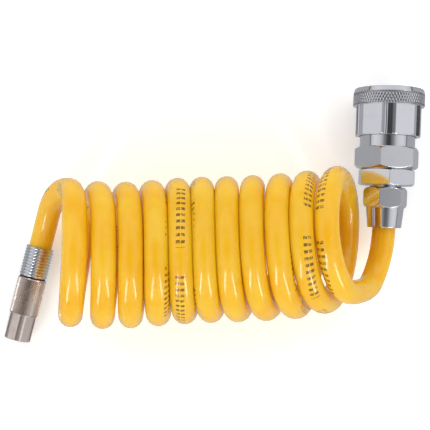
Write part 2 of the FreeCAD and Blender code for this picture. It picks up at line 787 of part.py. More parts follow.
doc.recompute()
failed = [item.Name for item in doc.Objects if "Invalid" in item.State or "Error" in item.State]
if failed:
    raise RuntimeError(f"these objects failed to recompute: {failed}")

os.makedirs("parts", exist_ok=True)
bounds = FreeCAD.BoundBox()
for node in nodes:
    shape = node.Shape
    if shape.isNull() or not shape.isValid() or not shape.Solids:
        raise RuntimeError(f"{node.Label} has no valid solid")
    bounds.add(shape.BoundBox)
for node in nodes:
    node.Shape.exportStep(f"parts/{node.Label}.step")
    print(node.Label, len(node.Shape.Solids), "solid,", round(node.Shape.Volume, 1), "mm3")
print("box from", bounds.XMin, bounds.YMin, bounds.ZMin)
print("box to", bounds.XMax, bounds.YMax, bounds.ZMax)
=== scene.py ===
import json
import math

import bmesh
import bpy
from bpy.props import FloatProperty, FloatVectorProperty, IntProperty, PointerProperty
from bpy.types import Operator, Panel, PropertyGroup
from mathutils import Matrix, Vector
from mathutils.kdtree import KDTree


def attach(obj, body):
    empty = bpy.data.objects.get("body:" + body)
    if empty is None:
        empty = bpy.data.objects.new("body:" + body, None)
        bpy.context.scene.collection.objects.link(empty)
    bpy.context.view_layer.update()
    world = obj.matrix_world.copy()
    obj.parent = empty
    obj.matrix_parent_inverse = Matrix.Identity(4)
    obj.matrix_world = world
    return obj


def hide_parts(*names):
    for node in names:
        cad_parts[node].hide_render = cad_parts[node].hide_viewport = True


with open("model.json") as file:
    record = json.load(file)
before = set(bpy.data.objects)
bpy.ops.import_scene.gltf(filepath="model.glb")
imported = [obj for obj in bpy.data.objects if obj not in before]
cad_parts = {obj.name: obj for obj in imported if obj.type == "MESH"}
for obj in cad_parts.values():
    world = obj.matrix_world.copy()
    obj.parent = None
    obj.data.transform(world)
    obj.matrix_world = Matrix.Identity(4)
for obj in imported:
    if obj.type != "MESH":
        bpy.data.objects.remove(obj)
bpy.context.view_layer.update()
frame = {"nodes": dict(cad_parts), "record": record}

# A self-coiling air hose with a quick coupler socket and a screw-on tyre valve chuck.
# Metal pieces are modelled in millimetres along their own axis, +Z, and then laid down in metres.
# The coupler's stations run from its mouth to the hose, the chuck's from the hose to its nose.

bl_info = {
    "name": "Recoil Air Hose",
    "version": (1, 0, 0),
    "blender": (4, 5, 0),
    "location": "3D View > Sidebar > Air Hose",
    "description": "Builds a self-coiling air hose with its quick coupler and tyre valve chuck",
    "category": "Add Mesh",
}

MM = 0.001
ROOT = "hose_and_fittings"
BALL_COUNT = 6
HEX_SIDES = 6


# ------------------------------------------------------------------ sizes and colours

class HoseSettings(PropertyGroup):
    diameter: FloatProperty(
        name="Diameter", description="Outside diameter of the hose", default=0.008,
        unit="LENGTH", subtype="DISTANCE",
    )
    length: FloatProperty(
        name="Length", description="Real length of the hose from end to end", default=1.42,
        unit="LENGTH", subtype="DISTANCE",
    )
    points_per_turn: IntProperty(
        name="Points per turn", description="Control points on each turn of the coil",
        default=16, min=12,
    )
    sides: IntProperty(
        name="Sides", description="Sides of the hose's round section", default=28, min=12,
    )
    colour: FloatVectorProperty(
        name="Hose colour", description="Colour of the polyurethane", default=(0.90, 0.50, 0.008),
        size=3, subtype="COLOR",
    )
    pale: FloatVectorProperty(
        name="Pale colour", description="Where the polyurethane is thin or worn", default=(0.93, 0.58, 0.03),
        size=3, subtype="COLOR",
    )
    ink: FloatVectorProperty(
        name="Ink colour", description="Colour of the dashes of ink", default=(0.10, 0.045, 0.012),
        size=3, subtype="COLOR",
    )


class CouplerSettings(PropertyGroup):
    knurl_columns: IntProperty(
        name="Knurl columns", description="Diamonds round the sleeve's flange", default=76, min=24,
    )
    knurl_depth: FloatProperty(
        name="Knurl depth", description="How far the flange's diamonds stand out", default=0.00012,
        unit="LENGTH", subtype="DISTANCE", precision=5,
    )
    edge: FloatProperty(
        name="Edge rounding", description="Radius of the machined edges", default=0.00014,
        unit="LENGTH", subtype="DISTANCE", precision=5,
    )
    plating: FloatVectorProperty(
        name="Plating colour", description="Colour of the chrome plating", default=(0.76, 0.77, 0.80),
        size=3, subtype="COLOR",
    )


class ChuckSettings(PropertyGroup):
    knurl_columns: IntProperty(
        name="Knurl columns", description="Diamonds round the chuck's barrel", default=38, min=16,
    )
    knurl_depth: FloatProperty(
        name="Knurl depth", description="How far the barrel's diamonds stand out", default=0.00015,
        unit="LENGTH", subtype="DISTANCE", precision=5,
    )
    edge: FloatProperty(
        name="Edge rounding", description="Radius of the machined edges", default=0.00008,
        unit="LENGTH", subtype="DISTANCE", precision=5,
    )
    plating: FloatVectorProperty(
        name="Plating colour", description="Colour of the nickel plating", default=(0.80, 0.70, 0.63),
        size=3, subtype="COLOR",
    )


class StageSettings(PropertyGroup):
    camera_height: FloatProperty(
        name="Camera height", description="Height of the camera above the floor", default=0.320,
        unit="LENGTH", subtype="DISTANCE",
    )
    lens: FloatProperty(
        name="Lens", description="Focal length of the camera", default=74.5, subtype="DISTANCE_CAMERA",
    )
    floor_colour: FloatVectorProperty(
        name="Floor colour", description="Colour of the plain floor", default=(0.95, 0.95, 0.95),
        size=3, subtype="COLOR",
    )
    floor_glow: FloatProperty(
        name="Floor glow", description="Light from below the floor, as on a light table", default=0.30, min=0,
    )
    overhead_power: FloatProperty(
        name="Overhead power", description="Power of the light above and behind", default=5.2, unit="POWER",
    )
    strip_power: FloatProperty(
        name="Strip power", description="Power of each strip light", default=1.55, unit="POWER",
    )


# ------------------------------------------------------------------ where the fittings lie

def mount(name):
    found = [m for m in frame["record"]["mounts"] if m["name"] == name][0]
    return Vector(found["pos_m"]), Vector(found["axis"]).normalized()


def laid_down(start, along):
    """The matrix that lays a fitting modelled in millimetres along +Z, with +X upwards, in the frame."""
    up = Vector((0, 0, 1))
    side = along.cross(up).normalized()
    turn = Matrix((up, side, along)).transposed().to_4x4()
    return Matrix.Translation(start) @ turn @ Matrix.Scale(MM, 4)


PLUG_MOUTH_STATION = 3.5
VALVE_THREAD_STATION = 29.0
socket_place, out_of_mouth = mount("plug_socket")
thread_place, out_of_nose = mount("tyre_valve_thread")
COUPLER = laid_down(socket_place + out_of_mouth * PLUG_MOUTH_STATION * MM, -out_of_mouth)
CHUCK = laid_down(thread_place - out_of_nose * VALVE_THREAD_STATION * MM, out_of_nose)


# ------------------------------------------------------------------ modelling by hand

def deselect_all():
    if bpy.context.object and bpy.context.object.mode != "OBJECT":
        bpy.ops.object.mode_set(mode="OBJECT")
    bpy.ops.object.select_all(action="DESELECT")


def activate(piece):
    deselect_all()
    piece.select_set(True)
    bpy.context.view_layer.objects.active = piece


def turned(name, outline, segments):
    """A lathe-turned ring: its (station, radius) outline is extruded and scaled round, and closed."""
    deselect_all()
    station, radius = outline[0]
    bpy.ops.mesh.primitive_circle_add(vertices=segments, radius=radius, location=(0, 0, station))
    piece = bpy.context.object
    piece.name = name
    bpy.ops.object.transform_apply(location=True)
    bpy.ops.object.mode_set(mode="EDIT")
    bpy.ops.mesh.select_all(action="SELECT")
    for next_station, next_radius in outline[1:] + outline[:1]:
        bpy.ops.mesh.extrude_edges_move(TRANSFORM_OT_translate={"value": (0, 0, next_station - station)})
        share = next_radius / radius
        bpy.ops.transform.resize(value=(share, share, 1), center_override=(0, 0, next_station))
        station, radius = next_station, next_radius
    bpy.ops.mesh.select_all(action="SELECT")
    bpy.ops.mesh.remove_doubles(threshold=0.0001)
    bpy.ops.mesh.normals_make_consistent(inside=False)
    bpy.ops.object.mode_set(mode="OBJECT")
    return piece


def milled_flats(piece, count, across_flats, turn_deg):
    """Flats are cut round a turned blank, each by a plane that is then filled."""
    activate(piece)
    bpy.ops.object.mode_set(mode="EDIT")
    for index in range(count):
        angle = math.radians(turn_deg + (index + 0.5) * 360 / count)
        outwards = Vector((math.cos(angle), math.sin(angle), 0))
        bpy.ops.mesh.select_all(action="SELECT")
        bpy.ops.mesh.bisect(
            plane_co=outwards * across_flats / 2, plane_no=outwards, use_fill=True, clear_outer=True,
            threshold=0.0002,
        )
    bpy.ops.object.mode_set(mode="OBJECT")
    return piece


def cut_away(piece, tool):
    """Cuts the tool's shape out of a piece and discards the tool."""
    activate(piece)
    modifier = piece.modifiers.new("cut", "BOOLEAN")
    modifier.operation = "DIFFERENCE"
    modifier.solver = "EXACT"
    modifier.object = tool
    bpy.ops.object.modifier_apply(modifier=modifier.name)
    bpy.data.objects.remove(tool)
    return piece


def round_cutters(count, orbit, radius, start, end, turn_deg):
    """Round bars lying along the axis, spaced evenly round it, as one cutting tool."""
    deselect_all()
    bars = []
    for index in range(count):
        angle = math.radians(turn_deg + index * 360 / count)
        bpy.ops.mesh.primitive_cylinder_add(
            vertices=40, radius=radius, depth=end - start,
            location=(orbit * math.cos(angle), orbit * math.sin(angle), (start + end) / 2),
        )
        bars.append(bpy.context.object)
    return joined("cutter", bars)


def box_cutters(count, floor, width, start, end, turn_deg):
    """Boxes standing on their floor radius, spaced evenly round the axis, as one cutting tool."""
    deselect_all()
    height = 4.0
    boxes = []
    for index in range(count):
        angle = math.radians(turn_deg + index * 360 / count)
        middle = floor + height / 2
        bpy.ops.mesh.primitive_cube_add(
            size=1, location=(middle * math.cos(angle), middle * math.sin(angle), (start + end) / 2),
            rotation=(0, 0, angle), scale=(height, width, end - start),
        )
        boxes.append(bpy.context.object)
    return joined("cutter", boxes)


def radial_drills(count, radius, inner, outer, station):
    deselect_all()
    drills = []
    for index in range(count):
        angle = math.radians((index + 0.5) * 360 / count)
        middle = (inner + outer) / 2
        bpy.ops.mesh.primitive_cylinder_add(
            vertices=32, radius=radius, depth=outer - inner,
            location=(middle * math.cos(angle), middle * math.sin(angle), station),
            rotation=(0, math.pi / 2, angle),
        )
        drills.append(bpy.context.object)
    return joined("cutter", drills)


def joined(name, objects):
    deselect_all()
    for item in objects:
        item.select_set(True)
    bpy.context.view_layer.objects.active = objects[0]
    if len(objects) > 1:
        bpy.ops.object.join()
    objects[0].name = name
    bpy.ops.object.transform_apply(location=True, rotation=True, scale=True)
    return objects[0]


def off_axis(point):
    return math.hypot(point.x, point.y)


def select_band(piece, start, end, radius):
    """Selects the outward faces of a band of wall at that radius."""
    bpy.ops.mesh.select_mode(type="FACE")
    bpy.ops.mesh.select_all(action="DESELECT")
    mesh = bmesh.from_edit_mesh(piece.data)
    for face in mesh.faces:
        centre = face.calc_center_median()
        on_wall = abs(off_axis(centre) - radius) < 0.1 and off_axis(face.normal) > 0.9
        face.select_set(on_wall and start < centre.z < end)
    bmesh.update_edit_mesh(piece.data)


def rolled_knurl(piece, start, end, radius, valley, slope, depth):
    """Diamonds are rolled into a band: its quads are poked and their own edges dissolved, then each diamond
    is inset from the valley round it and raised. The valleys take the second material, a dark metal that is
    painted shade in the narrow valleys between the diamonds."""
    activate(piece)
    bpy.ops.object.mode_set(mode="EDIT")
    select_band(piece, start, end, radius)
    bpy.ops.mesh.poke(offset=0, center_mode="MEDIAN")
    mesh = bmesh.from_edit_mesh(piece.data)
    band = {face.index for face in mesh.faces if face.select}
    bpy.ops.mesh.select_mode(type="EDGE")
    mesh = bmesh.from_edit_mesh(piece.data)
    for edge in mesh.edges:
        first, second = (vertex.co for vertex in edge.verts)
        level = abs(first.z - second.z) < 0.001
        upright = abs(first.x - second.x) + abs(first.y - second.y) < 0.001
        inside = len(edge.link_faces) == 2 and all(face.index in band for face in edge.link_faces)
        edge.select_set(inside and (level or upright))
    bmesh.update_edit_mesh(piece.data)
    bpy.ops.mesh.dissolve_edges(use_verts=False)
    select_band(piece, start, end, radius)
    piece.active_material_index = 1
    bpy.ops.object.material_slot_assign()
    bpy.ops.mesh.inset(thickness=valley, depth=0, use_individual=True, use_even_offset=True)
    piece.active_material_index = 0
    bpy.ops.object.material_slot_assign()
    bpy.ops.mesh.inset(thickness=slope, depth=depth, use_individual=True, use_even_offset=True)
    bpy.ops.object.material_slot_assign()
    bpy.ops.object.mode_set(mode="OBJECT")
    return piece


def rounded_edges(piece, width, wanted):
    """Bevels the sharp edges that the wanted test accepts by their middle."""
    sharp = math.radians(24)
    segments = 2
    activate(piece)
    bpy.ops.object.mode_set(mode="EDIT")
    bpy.ops.mesh.select_mode(type="EDGE")
    bpy.ops.mesh.select_all(action="DESELECT")
    mesh = bmesh.from_edit_mesh(piece.data)
    for edge in mesh.edges:
        middle = (edge.verts[0].co + edge.verts[1].co) / 2
        if len(edge.link_faces) == 2 and edge.calc_face_angle() > sharp and wanted(middle):
            edge.select_set(True)
    bmesh.update_edit_mesh(piece.data)
    bpy.ops.mesh.bevel(
        offset=width, segments=segments, affect="EDGES", clamp_overlap=False, miter_outer="SHARP",
    )
    bpy.ops.mesh.select_mode(type="VERT")
    bpy.ops.object.mode_set(mode="OBJECT")
    return piece


def machined_shading(piece, crease_deg=40):
    """Flats stay flat and round walls stay round: normals are weighted by face area."""
    activate(piece)
    bpy.ops.object.shade_smooth_by_angle(angle=math.radians(crease_deg))
    modifier = piece.modifiers.new("face_weighted", "WEIGHTED_NORMAL")
    modifier.keep_sharp = True
    modifier.weight = 80
    bpy.ops.object.modifier_apply(modifier=modifier.name)


def finish_piece(piece, name, place, body, material, nodes=()):
    """Lays a finished piece down in the frame and says what it rides on and stands for."""
    piece.name = name
    piece.data.name = name
    activate(piece)
    piece.matrix_world = place
    bpy.ops.object.transform_apply(location=True, rotation=True, scale=True)
    if not piece.data.materials:
        piece.data.materials.append(material)
    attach(piece, body)
    if nodes:
        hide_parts(*nodes)


# ------------------------------------------------------------------ materials

def new_material(name):
    material = bpy.data.materials.new(name)
    material.use_nodes = True
    tree = material.node_tree
    return material, tree, tree.nodes["Principled BSDF"]


def node(tree, kind, **settings):
    made = tree.nodes.new(kind)
    for key, value in settings.items():
        setattr(made, key, value)
    return made


def noise(tree, vector, scale, detail=3.0, roughness=0.5):
    made = node(tree, "ShaderNodeTexNoise")
    made.inputs["Scale"].default_value = scale
    made.inputs["Detail"].default_value = detail
    made.inputs["Roughness"].default_value = roughness
    tree.links.new(vector, made.inputs["Vector"])
    return made.outputs["Fac"]


def remap(tree, value, low, high, to_low, to_high):
    made = node(tree, "ShaderNodeMapRange", clamp=True)
    for socket, number in zip(("From Min", "From Max", "To Min", "To Max"), (low, high, to_low, to_high)):
        made.inputs[socket].default_value = number
    tree.links.new(value, made.inputs["Value"])
    return made.outputs["Result"]


def calculate(tree, operation, first, second=None):
    made = node(tree, "ShaderNodeMath", operation=operation)
    for index, value in enumerate((first, second)):
        if value is None:
            continue
        if isinstance(value, (int, float)):
            made.inputs[index].default_value = value
        else:
            tree.links.new(value, made.inputs[index])
    return made.outputs[0]


def blend_colours(tree, share, first, second):
    made = node(tree, "ShaderNodeMix", data_type="RGBA")
    tree.links.new(share, made.inputs["Factor"])
    for socket, colour in (("A", first), ("B", second)):
        target = [s for s in made.inputs if s.name == socket and s.type == "RGBA"][0]
        if isinstance(colour, bpy.types.NodeSocket):
            tree.links.new(colour, target)
        else:
            target.default_value = (*colour, 1)
    return [s for s in made.outputs if s.type == "RGBA"][0]


def bump(tree, height, strength, distance):
    made = node(tree, "ShaderNodeBump")
    made.inputs["Strength"].default_value = strength
    made.inputs["Distance"].default_value = distance
    tree.links.new(height, made.inputs["Height"])
    return made.outputs["Normal"]


def metal(name, colour, stain, roughness, spread, scratches=0.04):
    """Plated or plain metal: faint stains, uneven polish and fine handling marks."""
    material, tree, shader = new_material(name)
    place = node(tree, "ShaderNodeTexCoord").outputs["Object"]
    cloud = noise(tree, place, 260, 4)
    fine = noise(tree, place, 2400, 2)
    tint = blend_colours(tree, remap(tree, cloud, 0.48, 0.74, 0, 1), colour, stain)
    tree.links.new(tint, shader.inputs["Base Color"])
    polish = remap(tree, cloud, 0.3, 0.7, roughness, roughness + spread)
    tree.links.new(polish, shader.inputs["Roughness"])
    tree.links.new(bump(tree, fine, scratches, 0.00002), shader.inputs["Normal"])
    shader.inputs["Metallic"].default_value = 1
    return material


def rubber(name, colour, dusty, roughness):
    material, tree, shader = new_material(name)
    place = node(tree, "ShaderNodeTexCoord").outputs["Object"]
    grain = noise(tree, place, 1500, 3)
    dust = remap(tree, grain, 0.45, 0.75, 0, 1)
    tree.links.new(blend_colours(tree, dust, colour, dusty), shader.inputs["Base Color"])
    tree.links.new(bump(tree, grain, 0.2, 0.00003), shader.inputs["Normal"])
    shader.inputs["Roughness"].default_value = roughness
    return material


def hose_material(settings):
    """Glossy translucent polyurethane, with a line of worn ink dashes along the hose.

    The hose's own map holds metres along it and millimetres round it from the line of ink.
    """
    material, tree, shader = new_material("yellow_polyurethane")
    coordinates = node(tree, "ShaderNodeTexCoord")
    wrap = node(tree, "ShaderNodeUVMap", uv_map="hose_wrap").outputs["UV"]
    parts = node(tree, "ShaderNodeSeparateXYZ")
    tree.links.new(wrap, parts.inputs[0])
    along, across = parts.outputs["X"], parts.outputs["Y"]
    place = coordinates.outputs["Object"]
    cloud = noise(tree, place, 90, 3)
    thin = remap(tree, cloud, 0.35, 0.7, 0, 1)
    body = blend_colours(tree, thin, tuple(settings.colour), tuple(settings.pale))
    # Sparse faint brown smudges at random: a painted dark reflection of the camera above the hose.
    camera_reflection_smudge = remap(tree, noise(tree, place, 150, 5, 0.65), 0.66, 0.78, 0, 0.35)
    body = blend_colours(tree, camera_reflection_smudge, body, (0.55, 0.27, 0.02))
    # Ink: short bars across the hose in groups, each in two halves and partly worn away.
    bar_pitch, group_pitch = 0.00185, 0.0265
    bar_share, group_share = 0.45, 0.72
    half_height, half_gap = 1.45, 0.14
    bar = calculate(tree, "FRACT", calculate(tree, "DIVIDE", along, bar_pitch))
    in_bar = calculate(tree, "LESS_THAN", bar, bar_share)
    group = calculate(tree, "FRACT", calculate(tree, "DIVIDE", along, group_pitch))
    in_group = calculate(tree, "LESS_THAN", group, group_share)
    off_line = calculate(tree, "ABSOLUTE", across)
    in_line = calculate(tree, "LESS_THAN", off_line, half_height)
    split = calculate(tree, "GREATER_THAN", off_line, half_gap)
    worn = remap(tree, noise(tree, place, 1100, 3, 0.6), 0.36, 0.5, 0.15, 0.85)
    ink = calculate(tree, "MULTIPLY", calculate(tree, "MULTIPLY", in_bar, in_group), in_line)
    ink = calculate(tree, "MULTIPLY", calculate(tree, "MULTIPLY", ink, split), worn)
    colour = blend_colours(tree, ink, body, tuple(settings.ink))
    tree.links.new(colour, shader.inputs["Base Color"])
    tree.links.new(remap(tree, cloud, 0.3, 0.7, 0.13, 0.22), shader.inputs["Roughness"])
    ripple = noise(tree, place, 420, 2)
    tree.links.new(bump(tree, ripple, 0.06, 0.0001), shader.inputs["Normal"])
    shader.inputs["Subsurface Weight"].default_value = 0.75
    shader.inputs["Subsurface Radius"].default_value = (1.0, 0.6, 0.1)
    shader.inputs["Subsurface Scale"].default_value = 0.0045
    shader.inputs["IOR"].default_value = 1.5
    shader.inputs["Coat Weight"].default_value = 0.35
    shader.inputs["Coat Roughness"].default_value = 0.05
    return material


# ------------------------------------------------------------------ stage

class AIRHOSE_OT_stage(Operator):
    """Adds the plain floor, the soft lights and the camera"""
    bl_idname = "airhose.stage"
    bl_label = "Stage"

    def execute(self, context):
        settings = context.scene.airhose_stage
        self.floor(settings)
        self.lights(settings)
        self.camera(settings)
        return {"FINISHED"}

    def floor(self, settings):
        deselect_all()
        bpy.ops.mesh.primitive_plane_add(size=6, location=(0, 0, 0))
        floor = bpy.context.object
        floor.name = "floor"
        material, tree, shader = new_material("matt_paper")
        place = node(tree, "ShaderNodeTexCoord").outputs["Object"]
        tone = remap(tree, noise(tree, place, 4, 2), 0.3, 0.7, 0, 1)
        paper = tuple(settings.floor_colour)
        shade = blend_colours(tree, tone, paper, [0.99 * c for c in paper])
        tree.links.new(shade, shader.inputs["Base Color"])
        shader.inputs["Roughness"].default_value = 0.9
        shader.inputs["Specular IOR Level"].default_value = 0.1
        shader.inputs["Emission Color"].default_value = (1, 1, 1, 1)
        shader.inputs["Emission Strength"].default_value = settings.floor_glow
        floor.data.materials.append(material)
        floor.visible_glossy = False

    def lights(self, settings):
        # The back light gives light without showing as a white patch on the plating.
        back = self.area("light_back", (0.0, 0.66, 0.55), (1.9, 1.0), settings.overhead_power)
        back.visible_glossy = False
        self.area("light_strip_left", (-0.42, -0.56, 0.36), (0.13, 0.58), settings.strip_power)
        self.area("light_strip_right", (0.42, -0.56, 0.36), (0.13, 0.58), settings.strip_power)
        self.tent()

    def tent(self):
        """A soft grey tent all round, as the plating reflects it."""
        world = bpy.data.worlds.new("studio")
        world.use_nodes = True
        tree = world.node_tree
        tilted = node(tree, "ShaderNodeMapping")
        tilted.inputs["Rotation"].default_value = (0, math.radians(5), 0)
        tree.links.new(node(tree, "ShaderNodeTexCoord").outputs["Generated"], tilted.inputs["Vector"])
        parts = node(tree, "ShaderNodeSeparateXYZ")
        tree.links.new(tilted.outputs["Vector"], parts.inputs[0])
        # Height against grey. The tent leans a little. It is grey below, dark in a thin band at the
        # table's edge, bright all round, and dark again round the camera.
        tones = (
            (-1.0, 0.44), (0.115, 0.44), (0.13, 0.06), (0.165, 0.06), (0.205, 0.52), (0.35, 0.72),
            (0.55, 0.80), (0.80, 0.70), (0.90, 0.46), (0.935, 0.26), (0.975, 0.18), (0.988, 0.05),
            (1.0, 0.05),
        )
        greys = node(tree, "ShaderNodeValToRGB")
        stops = greys.color_ramp.elements
        for height, grey in tones:
            share = (height + 1) / 2
            stop = stops[-round(share)] if share in (0, 1) else stops.new(share)
            stop.color = (grey, grey * 1.005, grey * 1.04, 1)
        tree.links.new(remap(tree, parts.outputs["Z"], -1, 1, 0, 1), greys.inputs["Fac"])
        tree.links.new(greys.outputs["Color"], tree.nodes["Background"].inputs["Color"])
        tree.nodes["Background"].inputs["Strength"].default_value = 1.0
        bpy.context.scene.world = world
        bpy.context.scene.view_settings.view_transform = "Standard"

    def area(self, name, place, size, power):
        deselect_all()
        bpy.ops.object.light_add(type="AREA", location=place)
        light = bpy.context.object
        light.name = name
        light.data.shape = "RECTANGLE"
        light.data.size, light.data.size_y = size
        light.data.energy = power
        light.visible_camera = False
        light.rotation_euler = (-Vector(place)).to_track_quat("-Z", "Y").to_euler()
        return light

    def camera(self, settings):
        deselect_all()
        middle_x, middle_y = 0.00087, 0.0007
        bpy.ops.object.camera_add(location=(middle_x, middle_y, settings.camera_height), rotation=(0, 0, 0))
        camera = bpy.context.object
        camera.name = "camera"
        camera.data.sensor_width = 36
        camera.data.lens = settings.lens
        camera.data.clip_start = 0.01
        bpy.context.scene.camera = camera


# ------------------------------------------------------------------ hose

# The free stretches' route, from each fitting to the coil, in metres.
COUPLER_LEAD = (
    (0.05958, 0.00243, 0.01220),
    (0.05925, -0.00607, 0.01220),
    (0.05820, -0.01380, 0.01130),
    (0.05590, -0.02030, 0.01240),
    (0.05290, -0.02480, 0.01660),
)
CHUCK_LEAD = (
    (-0.06265, -0.01753, 0.00498),
    (-0.06055, -0.00930, 0.00498),
    (-0.05830, -0.00150, 0.00670),
    (-0.05560, 0.00520, 0.01200),
    (-0.05150, 0.00900, 0.01900),
)
TURN_COUNT = 10.5
# Each turn of the relaxed coil sits a little differently, from the coupler's end to the chuck's:
# its place along and across the coil and its radius, in metres.
TURNS = (
    (0.0444, -0.0063, 0.0196),
    (0.03465, -0.0084, 0.0202),
    (0.0254, -0.0096, 0.0204),
    (0.01585, -0.0102, 0.0203),
    (0.00675, -0.0106, 0.0203),
    (-0.00195, -0.0108, 0.0203),
    (-0.01035, -0.0112, 0.0204),
    (-0.0190, -0.0119, 0.0204),
    (-0.0280, -0.0125, 0.0204),
    (-0.0372, -0.0126, 0.0204),
    (-0.0470, -0.0117, 0.0206),
)
COIL_AXIS_HEIGHT = 0.02435
# Each turn's place is that of its top, a quarter turn on from where the turn is counted.
TOP_OF_TURN = 0.25
# The share of the hose that lies before the first turn, and again after the last.
LEAD_SHARE = 0.025
# Where the line of ink lies on the hose, and how far it winds round it with each turn.
INK_START_DEG = 20
INK_WIND_DEG = 68


def turn_at(count):
    """Place along, place across and radius of the coil after that many turns, smoothly between turns."""
    place = min(max(count - TOP_OF_TURN, 0.0), len(TURNS) - 1.0)
    index = min(int(place), len(TURNS) - 2)
    share = place - index
    values = []
    for column in range(3):
        before = TURNS[max(index - 1, 0)][column]
        first, second = TURNS[index][column], TURNS[index + 1][column]
        after = TURNS[min(index + 2, len(TURNS) - 1)][column]
        slope_in, slope_out = (second - before) / 2, (after - first) / 2
        a = 2 * (first - second) + slope_in + slope_out
        b = 3 * (second - first) - 2 * slope_in - slope_out
        values.append(first + share * (slope_in + share * (b + share * a)))
    pitch = TURNS[0][0] - TURNS[1][0]
    values[0] -= (count - TOP_OF_TURN - place) * pitch
    return values


def coil_point(count, swell):
    """The coil's centreline after that many turns, from the coupler's end; turns fan out to both sides."""
    along, across, radius = turn_at(count)
    angle = 2 * math.pi * count
    fan = (-9.4 + 2.0 * count - 0.062 * count ** 2) * MM
    lean = (2.2 - 0.6 * count) * MM
    return (
        along + fan * math.sin(angle) + lean / 2 * math.cos(angle),
        across - swell * radius * math.cos(angle),
        COIL_AXIS_HEIGHT + swell * radius * math.sin(angle),
    )


class AIRHOSE_OT_hose(Operator):
    """Winds the hose as one smooth tube from the coupler to the chuck"""
    bl_idname = "airhose.hose"
    bl_label = "Hose"

    def execute(self, context):
        settings = context.scene.airhose_hose
        curve = self.route(settings)
        bare = bpy.data.meshes.new_from_object(curve)
        path = [vertex.co.copy() for vertex in bare.vertices]
        bpy.data.meshes.remove(bare)
        tube = self.tube(curve, settings)
        self.wrap(tube, path, settings)
        tube.data.materials.clear()
        tube.data.materials.append(hose_material(settings))
        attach(tube, ROOT)
        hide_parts("hose_coil", "hose_lead_coupler", "hose_lead_chuck")
        return {"FINISHED"}

    def route(self, settings):
        per_turn = settings.points_per_turn
        # A quadratic spline cuts inside its control points by this much.
        swell = 1 / (0.75 + 0.25 * math.cos(2 * math.pi / per_turn))
        first, last = 1, int(TURN_COUNT * per_turn)
        coil = [coil_point(index / per_turn, swell) for index in range(first, last + 1)]
        points = [*COUPLER_LEAD, *coil, *reversed(CHUCK_LEAD)]
        data = bpy.data.curves.new("hose", "CURVE")
        data.dimensions = "3D"
        spline = data.splines.new("NURBS")
        spline.points.add(len(points) - 1)
        for control, point in zip(spline.points, points):
            control.co = (*point, 1)
        spline.order_u = 3
        spline.use_endpoint_u = True
        data.resolution_u = 5
        curve = bpy.data.objects.new("hose", data)
        bpy.context.scene.collection.objects.link(curve)
        return curve

    def tube(self, curve, settings):
        curve.data.bevel_mode = "ROUND"
        curve.data.bevel_depth = settings.diameter / 2
        curve.data.bevel_resolution = settings.sides // 4
        curve.data.use_fill_caps = True
        activate(curve)
        bpy.ops.object.convert(target="MESH")
        tube = bpy.context.object
        bpy.ops.object.mode_set(mode="EDIT")
        bpy.ops.mesh.select_all(action="SELECT")
        bpy.ops.mesh.remove_doubles(threshold=1e-6)
        bpy.ops.mesh.normals_make_consistent(inside=False)
        bpy.ops.object.mode_set(mode="OBJECT")
        bpy.ops.object.shade_smooth_by_angle(angle=math.radians(60))
        return tube

    def wrap(self, tube, path, settings):
        """Maps the hose: metres along it, and millimetres round it from the line of ink."""
        lengths = [0.0]
        for before, after in zip(path, path[1:]):
            lengths.append(lengths[-1] + (after - before).length)
        tree = KDTree(len(path))
        for index, point in enumerate(path):
            tree.insert(point, index)
        tree.balance()
        lead = LEAD_SHARE * lengths[-1]
        turn_length = (lengths[-1] - 2 * lead) / TURN_COUNT
        places = []
        for vertex in tube.data.vertices:
            centre, index, _ = tree.find(vertex.co)
            count = (lengths[index] - lead) / turn_length
            ahead = (path[min(index + 1, len(path) - 1)] - path[max(index - 1, 0)]).normalized()
            _, across, _ = turn_at(count)
            out = Vector((0, centre.y - across, centre.z - COIL_AXIS_HEIGHT))
            out = (out - out.dot(ahead) * ahead).normalized()
            side = ahead.cross(out)
            off = vertex.co - centre
            ink_line = math.radians(INK_START_DEG + INK_WIND_DEG * (count - 1 - TOP_OF_TURN))
            angle = math.atan2(off.dot(side), off.dot(out)) - ink_line
            angle = (angle + math.pi) % (2 * math.pi) - math.pi
            places.append((lengths[index], angle))
        layer = tube.data.uv_layers.get("UVMap") or tube.data.uv_layers.new(name="UVMap")
        layer.name = "hose_wrap"
        radius = settings.diameter / 2 / MM
        for face in tube.data.polygons:
            start = places[face.vertices[0]][1]
            for loop in face.loop_indices:
                length, angle = places[tube.data.loops[loop].vertex_index]
                if angle - start > math.pi:
                    angle -= 2 * math.pi
                elif start - angle > math.pi:
                    angle += 2 * math.pi
                layer.data[loop].uv = (length, angle * radius)


# ------------------------------------------------------------------ coupler

def chrome(settings):
    name = "chrome_plate"
    ready = bpy.data.materials.get(name)
    return ready or metal(name, tuple(settings.plating), (0.74, 0.74, 0.76), 0.09, 0.05)


# Dark metal for the knurls' valleys: painted shade in the narrow valleys between the diamonds.
def valley_painted_shade():
    name = "knurl_valley_painted_shade"
    ready = bpy.data.materials.get(name)
    return ready or metal(name, (0.13, 0.13, 0.135), (0.08, 0.078, 0.075), 0.35, 0.2)


